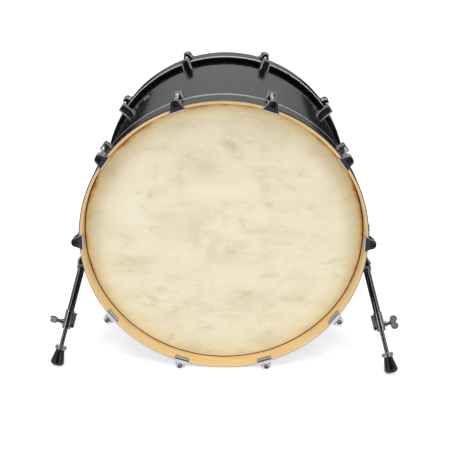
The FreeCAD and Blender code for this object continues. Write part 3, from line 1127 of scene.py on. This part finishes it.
# Tension rods: a square key head, a collar that bears in the claw, and a shank with a rolled thread
def make_rods():
    def key_outline(inset):
        half = key_half - inset
        return rounded_rectangle(half, half, edge_round, small_corner_steps)

    head = stacked(
        key_outline,
        [
            (key_front, eased_edge),
            (key_front + fine_edge, fine_edge),
            (key_front + eased_edge, 0),
            (key_back, 0),
        ],
    )
    shank = [
        (0, key_back),
        (flange_radius, key_back, broken_edge),
        (flange_radius, flange_back, broken_edge),
        (rod_radius, flange_back),
        (rod_radius, thread_start - rod_radius + rod_core),
        (rod_core, thread_start),
        (rod_core, rod_end - rod_core / 2),
        (rod_core / 2, rod_end),
        (0, rod_end),
    ]
    rod = grown(
        joined(head, turned(shank, thin_steps)),
        THREAD,
        Start=thread_start,
        Length=rod_end - rod_core - thread_start,
        Pitch=thread_pitch,
        Radius=rod_core,
        Ridge=rod_radius - rod_core,
        Finish=BRIGHT_CHROME,
    )
    # The key head takes the darker chrome as painted shade, where it sits in the claw's recess.
    paint_faces(rod, DARK_CHROME, lambda middle: middle.z < flange_back)
    for end, place in DRUM_PLACES.items():
        for number in range(stations):
            name = "%s_tension_rod_%02d" % (end, number + 1)
            threaded = moved(rod, place @ station_turn(end, number) @ AT_ROD)
            make_piece(name + "_threaded", threaded, name, "bright_chrome", None, name)
    bpy.data.meshes.remove(rod)


# Lugs: tapered blocks that sit on the shell, with a bright eye where the rod goes in
def lug_block():
    middle = lug_front + lug_length / 2

    def ring(height, inset):
        half_length = lug_length / 2 - inset
        half_width = lug_width / 2 - inset
        points = []
        for p in rounded_rectangle(half_length, half_width, lug_corner, lug_corner_steps):
            seat = math.sqrt(shell_radius**2 - p.y**2)
            points.append(Vector((max(height, seat), p.y, middle + p.x)))
        return points

    side_top = lug_top - lug_edge
    rings = [ring(0, 0), ring(shell_radius + lug_edge / 2, lug_foot_taper), ring(side_top, lug_taper)]
    for step in range(1, lug_edge_steps + 1):
        turn = math.pi / 2 * step / lug_edge_steps
        inset = lug_taper + lug_edge * (1 - math.cos(turn))
        rings.append(ring(side_top + lug_edge * math.sin(turn), inset))
    return cut(loft(rings), rod_cutter(lug_bore, lug_front - lug_edge, lug_bore_end, place=AT_ROD))


def lug_ring():
    edges = (broken_edge, small_edge, 0, 0)
    return turned(band(lug_bore, lug_eye, lug_front, lug_front + lug_eye_depth, edges), place=AT_ROD)


def make_lugs():
    block = lug_block()
    eye = lug_ring()
    for end in DRUM_PLACES:
        blocks = station_ring(block, end, DARK_CHROME)
        make_piece(end + "_lug_blocks", blocks, "drum", "black_chrome", None, end + "_lugs")
        eyes = station_ring(eye, end, BRIGHT_CHROME)
        make_piece(end + "_lug_eyes", eyes, "drum", "bright_chrome", None)
    bpy.data.meshes.remove(block)
    bpy.data.meshes.remove(eye)


# Spurs
def bracket_seat(leg):
    """Frame at the drum's axis whose X goes out through the shell to the bracket's neck."""
    hinge = leg.translation
    neck = hinge + leg.to_3x3().col[0] * bracket_face_start
    angle = math.atan2(neck.z - axis_height, abs(neck.x))
    turn = -angle if hinge.x > 0 else angle - math.pi
    return Matrix.Translation((0, hinge.y, axis_height)) @ Matrix.Rotation(turn, 4, "Y")


def make_bracket(side, leg):
    """Cast foot on the shell that draws in to a round hinge face."""
    hinge = leg.translation
    outward = leg.to_3x3().col[0]
    face_end = bracket_face_start + bracket_disc
    seat = bracket_seat(leg)

    def foot_ring(height, inset):
        half_length = bracket_length / 2 - inset
        half_width = bracket_width / 2 - inset
        corner = bracket_corner - inset / 2
        points = []
        for p in rounded_rectangle(half_length, half_width, corner, bracket_corner_steps):
            curve = math.sqrt(shell_radius**2 - p.y**2)
            points.append(seat @ Vector((curve + height, p.x, p.y)))
        return points

    low = foot_ring(0, 0)
    along = Vector((0, 1, 0))
    across = outward.cross(along)
    centre = sum(low, Vector()) / len(low)

    def disc_ring(depth, radius):
        points = []
        for p in low:
            spoke = p - centre
            flat = (along * spoke.dot(along) + across * spoke.dot(across)).normalized()
            points.append(hinge + outward * depth + flat * radius)
        return points

    def drawn_in(near, far, share):
        """A point of the neck, which narrows fast at the foot and slowly at the face."""
        ease = 1 - (1 - share) ** 2
        out = outward * (far - near).dot(outward)
        return near + out * share + ((far - near) - out) * ease

    rings = [low]
    for rise, inset in bracket_foot_edge:
        rings.append(foot_ring(bracket_foot + rise * MM, inset * MM))
    start = foot_ring(bracket_foot + bracket_neck_rise, bracket_neck_inset)
    end = disc_ring(bracket_face_start + bracket_neck_end, bracket_neck_radius)
    for step in range(bracket_neck_steps + 1):
        share = step / bracket_neck_steps
        rings.append([drawn_in(near, far, share) for near, far in zip(start, end)])
    disc_start = bracket_face_start + bracket_disc_start
    rings.append(disc_ring(disc_start, bracket_disc_radius - broken_edge))
    rings.append(disc_ring(disc_start + small_edge, bracket_disc_radius))
    rings.append(disc_ring(face_end - eased_edge, bracket_disc_radius))
    rings.append(disc_ring(face_end, bracket_disc_radius - eased_edge))
    bore = pivot_bolt_radius + bore_gap
    hole = rod_cutter(bore, bracket_face_start, face_end + MM, place=leg @ ALONG_X)
    mesh = cut(loft(rings), hole)
    make_spur_piece(side, "cast_bracket", mesh, "drum", "black_chrome", ENAMEL, "bracket")


def make_bracket_screws(side, leg):
    section = [
        (0, 0),
        (bracket_screw_radius, 0),
        (bracket_screw_radius, bracket_screw_side, eased_edge),
        (bracket_screw_recess, bracket_screw_top, fine_edge),
        (bracket_screw_recess, bracket_screw_floor),
        (0, bracket_screw_floor),
    ]
    height = shell_radius + bracket_foot - bracket_screw_sink
    screws = []
    for way in (-1, 1):
        place = Matrix.Translation((height, way * bracket_screw_place, 0))
        screws.append(turned(section, screw_steps, bracket_seat(leg) @ place @ ALONG_X))
    make_spur_piece(side, "bracket_screws", joined(*screws), "drum", "bright_chrome", BRIGHT_CHROME)


def make_pivot_bolt(side, leg):
    under = knuckle_outer + turning_gap
    section = [
        (0, bracket_face_start),
        (pivot_bolt_radius, bracket_face_start),
        (pivot_bolt_radius, under),
        (pivot_head_radius, under, broken_edge),
        (pivot_head_radius, under + pivot_head, soft_edge),
        (0, under + pivot_head),
    ]
    key = rod_cutter(pivot_key, under + pivot_key_floor, under + 2 * pivot_head, pivot_key_sides)
    mesh = cut(turned(section), key)
    mesh.transform(leg @ ALONG_X)
    make_spur_piece(side, "hinge_bolt", mesh, "drum", "bright_chrome", BRIGHT_CHROME, "pivot_bolt")


def make_knuckle(side, leg):
    bore = pivot_bolt_radius + bore_gap
    edges = (0, soft_edge, cast_edge, 0)
    boss = turned(band(bore, knuckle_radius, -knuckle_inner, knuckle_outer, edges), place=ALONG_X)
    socket = [
        (tube_radius, socket_start),
        (socket_root, socket_start),
        (socket_radius, socket_end, eased_edge),
        (tube_radius, socket_end),
    ]
    mesh = joined(boss, turned_on_leg(socket))
    mesh.transform(leg)
    make_spur_piece(side, "hinge_knuckle", mesh, "leg", "black_chrome", ENAMEL, "knuckle")


def make_tube(side, leg, end):
    edges = (0, edge_round, edge_round, 0)
    mesh = turned_on_leg(band(spur_bore, tube_radius, tube_start, end, edges))
    mesh.transform(leg)
    make_spur_piece(side, "leg_tube", mesh, "leg", "black_chrome", ENAMEL, "tube")


def collar_barrel(start, end):
    grip = start + collar_grip
    section = [
        (tube_radius, start, fine_edge),
        (collar_radius, start, soft_edge),
        (collar_radius, end, soft_edge),
        (spur_bore, end, edge_round),
        (spur_bore, grip),
        (tube_radius, grip),
    ]
    return turned_on_leg(section)


def collar_ears(start, end, screw_place):
    half = collar_length / 2 - collar_ear_margin
    towards_drum = Matrix.Translation((0, 0, -(start + end) / 2)) @ Matrix.Rotation(-math.pi / 2, 4, "Y")
    ears = stacked(
        lambda inset: rounded_rectangle(half - inset, collar_ear_width / 2 - inset, collar_ear_corner),
        [
            (tube_radius, 0),
            (collar_ear - soft_edge, 0),
            (collar_ear - broken_edge, broken_edge),
            (collar_ear, soft_edge),
        ],
        towards_drum,
    )
    slit = stacked(
        lambda inset: rounded_rectangle(2 * half, collar_slit / 2, inset, 1),
        [(collar_slit_start, 0), (2 * collar_ear, 0)],
        towards_drum,
    )
    hole = rod_cutter(ear_screw_radius, -collar_ear_width, collar_ear_width, thin_steps, screw_place)
    return cut(ears, slit, hole)


def collar_boss(start):
    bore = wing_screw_radius + bore_gap
    section = band(bore, wing_boss_radius, tube_radius, wing_boss_end, (0, 0, eased_edge, 0))
    return turned(section, place=Matrix.Translation((0, 0, -start - wing_setback)) @ ALONG_X)


def make_collar(side, leg, start):
    """Split clamp collar: a barrel, two ears with a slit and a screw, and a boss for the wing screw."""
    end = start + collar_length
    screw_middle = (ear_screw_inset - collar_ear, 0, -start - ear_screw_setback)
    screw_place = Matrix.Translation(screw_middle) @ ALONG_Y
    mesh = joined(collar_barrel(start, end), collar_ears(start, end, screw_place), collar_boss(start))
    mesh.transform(leg)
    piece = make_spur_piece(side, "split_collar", mesh, "leg", "bright_chrome", DARK_CHROME, "collar")
    in_leg = leg.inverted()
    paint_faces(piece.data, SATIN_ZINC, lambda middle: (in_leg @ middle).x < -collar_radius)
    edges = (0, broken_edge, broken_edge, 0)
    section = band(0, ear_screw_radius, -ear_screw_half, ear_screw_half, edges)
    pin = turned(section, thin_steps, leg @ screw_place)
    make_spur_piece(side, "ear_screw", pin, "leg", "black_chrome", BLACK_CHROME)


def wing_lobe(way):
    section = [
        (0, -wing_dish_half),
        (wing_dish_radius, -wing_dish_half, full_edge),
        (wing_lobe_radius, -wing_thickness / 2, wing_lobe_round),
        (wing_lobe_radius, wing_thickness / 2, wing_lobe_round),
        (wing_dish_radius, wing_dish_half, full_edge),
        (0, wing_dish_half),
    ]
    place = Matrix.Translation((wing_lobe_place, 0, way * wing_lobe_spread)) @ ALONG_Y
    return turned(section, place=place)


def make_wing(side, leg, place):
    """Wing screw: a shank, a waisted hub and two flat lobes on a web."""
    shank_start = spur_rod_radius + turning_gap
    hub_start = wing_boss_end + turning_gap
    hub_middle = (hub_start + wing_hub_end) / 2
    shank = [
        (0, shank_start),
        (wing_screw_radius, shank_start, fine_edge),
        (wing_screw_radius, hub_start),
        (wing_hub_radius, hub_start, small_edge),
        (wing_hub_waist, hub_middle, wing_hub_round),
        (wing_hub_radius, wing_hub_end, full_edge),
        (0, wing_hub_end + full_edge),
    ]

    def web_outline(inset):
        half_width = wing_lobe_spread * (1 - inset)
        half_wall = wing_thickness / 2 * (1 - inset)
        return rounded_rectangle(half_width, half_wall, full_edge, small_corner_steps)

    web_heights = (hub_middle, hub_middle + wing_web_rise, wing_hub_end, wing_lobe_place)
    x_for_z = Matrix(((0, 0, 1, 0), (0, -1, 0, 0), (1, 0, 0, 0), (0, 0, 0, 1)))
    web = stacked(web_outline, list(zip(web_heights, wing_web_insets)), x_for_z)
    mesh = joined(turned(shank, place=ALONG_X), web, wing_lobe(-1), wing_lobe(1))
    mesh.transform(leg @ Matrix.Translation((0, 0, -place)) @ Matrix.Rotation(wing_turns[side], 4, "X"))
    make_spur_piece(side, "wing", mesh, "wing", "bright_chrome", ROD_STEEL, "wing_screw")


def make_extension(side, leg, length):
    tip = length - spike_depth
    start = tip - spur_rod_length
    section = [
        (0, start),
        (spur_rod_radius, start, small_edge),
        (spur_rod_radius, tip - spike_length, small_edge),
        (spike_tip, tip),
        (0, tip),
    ]
    mesh = turned_on_leg(section)
    mesh.transform(leg)
    make_spur_piece(side, "extension_rod", mesh, "extension", "bright_chrome", ROD_STEEL, "rod")


def make_locknut(side, leg, length):
    """Lock nut with a knurled rim."""
    end = length - foot_height - turning_gap
    start = end - locknut_height
    edges = (edge_round, full_edge, small_edge, edge_round)
    body = turned_on_leg(band(spur_bore, locknut_root, start, end, edges))

    def ridge_outline(inset):
        half_length = ridge_half_length - inset
        half_width = ridge_half_width - inset / 2
        return rounded_rectangle(half_length, half_width, ridge_corner, ridge_corner_steps)

    ridge = stacked(
        ridge_outline,
        [
            (locknut_root - broken_edge, 0),
            (locknut_root + fine_edge, ridge_corner),
            (locknut_radius, small_edge),
        ],
        Matrix.Translation((0, 0, -(start + end) / 2)) @ ALONG_X,
    )
    mesh = joined(body, ring_of(ridge, locknut_ridges, STEEL))
    mesh.transform(leg)
    make_spur_piece(side, "knurled_nut", mesh, "locknut", "bright_chrome", STEEL, "locknut")


def make_foot(side, leg, length):
    """Rubber foot: a flared cup with a bead at its mouth and a round rim, cut flat where it stands."""
    start = length - foot_height
    rim = length - foot_chamfer
    bore_end = length - spike_depth + turning_gap
    section = [
        (spur_bore, start, broken_edge),
        (foot_top_radius, start, full_edge),
        (foot_top_radius + foot_bead, start + foot_bead_length, foot_neck_round),
        (foot_radius - foot_flare, rim - foot_flare_length, foot_neck_round),
        (foot_radius, rim, foot_side_round),
        (foot_radius - foot_chamfer, length, foot_base_round),
        (0, length),
        (0, bore_end),
        (spur_bore, bore_end),
    ]
    cup = turned_on_leg(section, foot_corner_steps)
    cup.transform(leg)
    reach = 2 * foot_height
    middle = leg @ Vector((0, 0, -length))
    ground = stacked(
        lambda inset: rounded_rectangle(reach, reach, inset, 1),
        [(-reach, 0), (0, 0)],
        Matrix.Translation((middle.x, middle.y, 0)),
    )
    make_spur_piece(side, "rubber_foot", cut(cup, ground), "foot", "black_rubber", RUBBER, "foot")


def make_spur(side):
    leg = leg_place(side)
    length = leg_length(side, leg)
    wing_place = -(leg.inverted() @ Vector(joints[side + "_wing_turn"]["pos_m"])).z
    collar_start = wing_place - wing_setback
    make_bracket(side, leg)
    make_bracket_screws(side, leg)
    make_pivot_bolt(side, leg)
    make_knuckle(side, leg)
    make_tube(side, leg, collar_start + collar_grip)
    make_collar(side, leg, collar_start)
    make_wing(side, leg, wing_place)
    make_extension(side, leg, length)
    make_locknut(side, leg, length)
    make_foot(side, leg, length)


# Solids that stay as they are take a finish here
def finish_solid(node, finish):
    materials = frame["nodes"][node].data.materials
    materials.clear()
    materials.append(finish)


# Studio: a pale floor, white where it is lit, soft light, and dark cloths that only the shine sees
def make_sheet(name, half_width, start, end, finish):
    """A flat sheet between two level edges, each a (depth, height). It is no part of the drum."""
    edges = ((-1, start), (1, start), (1, end), (-1, end))
    mesh = bpy.data.meshes.new(name)
    mesh.from_pydata([(side * half_width, *edge) for side, edge in edges], [], [(0, 1, 2, 3)])
    mesh.materials.append(finish)
    sheet = new_object(name, mesh)
    return sheet


def seen_ray(tree):
    """1 where the camera, a reflection or a view through glass sees the surface, and 0 elsewhere."""
    path = tree.nodes.new("ShaderNodeLightPath")
    seen = math_step(tree, "MAXIMUM", path.outputs["Is Camera Ray"], path.outputs["Is Glossy Ray"])
    return math_step(tree, "MAXIMUM", seen, path.outputs["Is Transmission Ray"])


def floor_finish():
    finish = bpy.data.materials.new("pale_floor")
    finish.use_nodes = True
    tree = finish.node_tree
    tree.nodes.clear()
    matt = {"Color": (floor_grey, floor_grey, floor_grey, 1.0)}
    lift = {"Strength": math_step(tree, "MULTIPLY", seen_ray(tree), floor_lift)}
    both = {
        0: new_node(tree, "ShaderNodeBsdfDiffuse", matt).outputs["BSDF"],
        1: new_node(tree, "ShaderNodeEmission", lift).outputs["Emission"],
    }
    surface = new_node(tree, "ShaderNodeAddShader", both).outputs["Shader"]
    new_node(tree, "ShaderNodeOutputMaterial", {"Surface": surface})
    return finish


def cloth_finish(name, shade):
    finish, tree, shader = bare_finish(name)
    fill(tree, shader, {"Base Color": (shade, shade, shade, 1.0), "Specular IOR Level": 0.0})
    return finish


def screen_finish():
    """Grey that grows paler upwards."""
    finish, tree, shader = bare_finish("grey_screen")
    height = new_node(tree, "ShaderNodeSeparateXYZ", {"Vector": on_surface(tree)}).outputs["Z"]
    shade = mapped(tree, height, 0.0, screen_paler_to, *screen_shades)
    fill(tree, shader, {"Base Color": shade, "Specular IOR Level": 0.0})
    return finish


def make_cloths():
    """Dark cloths before the drum and behind the camera, and one behind the drum up to a screen."""
    dark = cloth_finish("dark_cloth", dark_shade)
    black = cloth_finish("black_cloth", black_shade)
    near = front_face - cloth_start
    far = front_face - cloth_end
    start = rear_face + screen_start
    back = rear_face + screen_end
    cloths = (
        make_sheet("laid_cloth", cloth_side, (far, MM), (near, MM), dark),
        make_sheet("hung_cloth", cloth_side, (far, cloth_top), (far, 0), dark),
        make_sheet("back_cloth", cloth_side, (start, MM), (back, screen_base), black),
        make_sheet("low_screen", cloth_side, (back, screen_base), (back, screen_top), screen_finish()),
    )
    for cloth in cloths:
        cloth.visible_camera = False
        cloth.visible_diffuse = False
        cloth.visible_shadow = False


def make_sky():
    world = bpy.data.worlds.new("studio")
    bpy.context.scene.world = world
    world.use_nodes = True
    tree = world.node_tree
    strength = mapped(tree, seen_ray(tree), 0.0, 1.0, sky_light, 1.0)
    fill(tree, tree.nodes["Background"], {"Color": (1.0, 1.0, 1.0, 1.0), "Strength": strength})


def aimed(name, data, place, direction, roll=0.0):
    """A lamp or camera at a place, looking in a direction."""
    thing = new_object(name, data)
    thing.location = place
    thing.rotation_mode = "QUATERNION"
    thing.rotation_quaternion = direction.to_track_quat("-Z", "Y") @ Quaternion((0, 0, 1), roll)
    return thing


def make_lamps():
    """A broad soft light from above and a soft box on each side of the camera."""
    sun = bpy.data.lights.new("soft_light", "SUN")
    sun.energy = sun_strength
    sun.angle = sun_spread
    aimed("soft_light", sun, sun_place, -sun_place)
    aim = Vector((0, front_face, axis_height))
    for name, side in (("left_box", -1), ("right_box", 1)):
        box = bpy.data.lights.new(name, "AREA")
        box.shape = "RECTANGLE"
        box.size = box_width
        box.size_y = box_height
        box.energy = box_power
        place = Vector((side * box_side, front_face - box_distance, box_level))
        aimed(name, box, place, aim - place)


def make_camera():
    level = math.cos(camera_elevation)
    side = math.sin(camera_azimuth) * level
    back = Vector((side, -math.cos(camera_azimuth) * level, math.sin(camera_elevation)))
    lens = bpy.data.cameras.new("camera")
    lens.sensor_width = camera_sensor
    lens.lens = camera_lens
    lens.shift_x, lens.shift_y = camera_shift
    place = Vector((0, front_face, axis_height)) + camera_distance * back
    bpy.context.scene.camera = aimed("camera", lens, place, -back, camera_roll)


make_shell()
make_vent()
for end in DRUM_PLACES:
    make_hoop(end)
    make_film(end)
    make_flesh_hoop(end)
    finish_solid(end + "_claw_pads", RUBBER)
make_claws()
make_rods()
make_lugs()
for side in ("right", "left"):
    make_spur(side)
make_sheet("floor", floor_reach, (-floor_reach, 0), (floor_reach, 0), floor_finish())
make_cloths()
make_sky()
make_lamps()
make_camera()
bpy.context.scene.view_settings.view_transform = "Standard"
